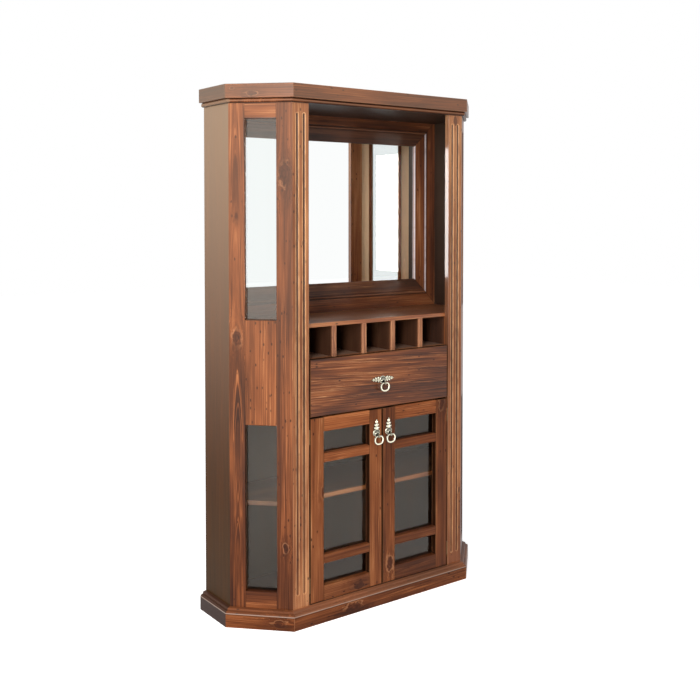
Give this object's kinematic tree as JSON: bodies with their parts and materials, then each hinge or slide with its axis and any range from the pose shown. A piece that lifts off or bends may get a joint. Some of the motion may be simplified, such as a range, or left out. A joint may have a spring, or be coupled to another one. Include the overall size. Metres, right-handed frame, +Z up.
{
  "type": "glass display cabinet",
  "caption": "Tall pine display cabinet with canted glazed corners, mirrored niche, wine rack, drawer with ring pull and a pair of glazed doors.",
  "frame": {"origin": "bottom centre of the whole cabinet's box, on the floor", "axes": "+Z up, +Y towards the wall behind it, +X to the right as seen from the front"},
  "size_m": [1.1616, 0.3644, 1.9],
  "materials": {
    "stained_pine": "walnut-stained solid pine under satin lacquer",
    "stained_panel": "stained thin panel, matt",
    "plain_pine": "plain sanded pine",
    "clear_glass": "clear float glass",
    "mirror_glass": "silvered mirror",
    "antique_brass": "antiqued cast brass, dark in the hollows",
    "bronzed_steel": "dark bronzed steel",
    "plated_steel": "zinc-plated steel",
    "brown_plastic": "dark brown moulded plastic"
  },
  "bodies": {
    "carcass": {"back_panel": "stained_panel", "base_rails": "stained_pine", "cant_glass_beads": "stained_pine", "cant_glass_panes": "clear_glass", "cornice_front": "stained_pine", "cornice_returns": "stained_pine", "cupboard_floor": "stained_pine", "cupboard_shelf": "stained_pine", "display_shelf": "stained_pine", "drawer_bay_sides": "stained_pine", "drawer_deck": "stained_pine", "drawer_runners": "plain_pine", "hinge_frame_leaves": "bronzed_steel", "hinge_pins": "bronzed_steel", "left_cant_back_stile": "stained_pine", "left_cant_front_stile": "stained_pine", "left_cant_panel": "stained_pine", "left_cant_rails": "stained_pine", "left_pilaster": "stained_pine", "left_side_panel": "stained_pine", "magnetic_catch": "brown_plastic", "mirror_frame": "stained_pine", "mirror_glass": "mirror_glass", "plinth_front": "stained_pine", "plinth_returns": "stained_pine", "rack_dividers": "stained_pine", "rack_floor": "stained_pine", "right_cant_back_stile": "stained_pine", "right_cant_front_stile": "stained_pine", "right_cant_panel": "stained_pine", "right_cant_rails": "stained_pine", "right_pilaster": "stained_pine", "right_side_panel": "stained_pine", "shelf_bearers": "stained_pine", "top_board": "stained_pine"},
    "left_door": {"left_door_backplate": "antique_brass", "left_door_beads": "stained_pine", "left_door_glass": "clear_glass", "left_door_hinge_leaves": "bronzed_steel", "left_door_inner_stile": "stained_pine", "left_door_muntins": "stained_pine", "left_door_outer_stile": "stained_pine", "left_door_rails": "stained_pine", "left_door_strike": "plated_steel"},
    "right_door": {"right_door_backplate": "antique_brass", "right_door_beads": "stained_pine", "right_door_glass": "clear_glass", "right_door_hinge_leaves": "bronzed_steel", "right_door_inner_stile": "stained_pine", "right_door_muntins": "stained_pine", "right_door_outer_stile": "stained_pine", "right_door_rails": "stained_pine", "right_door_strike": "plated_steel"},
    "drawer": {"drawer_front": "stained_pine", "drawer_box": "plain_pine", "drawer_bottom": "plain_pine", "drawer_backplate": "antique_brass"},
    "left_ring": {"left_door_ring": "antique_brass"},
    "right_ring": {"right_door_ring": "antique_brass"},
    "drawer_ring": {"drawer_ring": "antique_brass"}
  },
  "joints": [
    {"name": "left_door_swing", "type": "hinge", "parent": "carcass", "child": "left_door", "pos_m": [-0.32525, -0.15635, 0.398], "axis": [0, 0, -1], "range_deg": [0, 100]},
    {"name": "right_door_swing", "type": "hinge", "parent": "carcass", "child": "right_door", "pos_m": [0.32525, -0.15635, 0.398], "axis": [0, 0, 1], "range_deg": [0, 100]},
    {"name": "drawer_slide", "type": "slide", "parent": "carcass", "child": "drawer", "axis": [0, -1, 0], "range_m": [0, 0.23]},
    {"name": "left_ring_swing", "type": "hinge", "parent": "left_door", "child": "left_ring", "pos_m": [-0.0285, -0.17485, 0.628], "axis": [-1, 0, 0], "range_deg": [-20, 95]},
    {"name": "right_ring_swing", "type": "hinge", "parent": "right_door", "child": "right_ring", "pos_m": [0.0285, -0.17485, 0.628], "axis": [-1, 0, 0], "range_deg": [-20, 95]},
    {"name": "drawer_ring_swing", "type": "hinge", "parent": "drawer", "child": "drawer_ring", "pos_m": [0, -0.17485, 0.823], "axis": [-1, 0, 0], "range_deg": [-20, 95]}
  ]
}
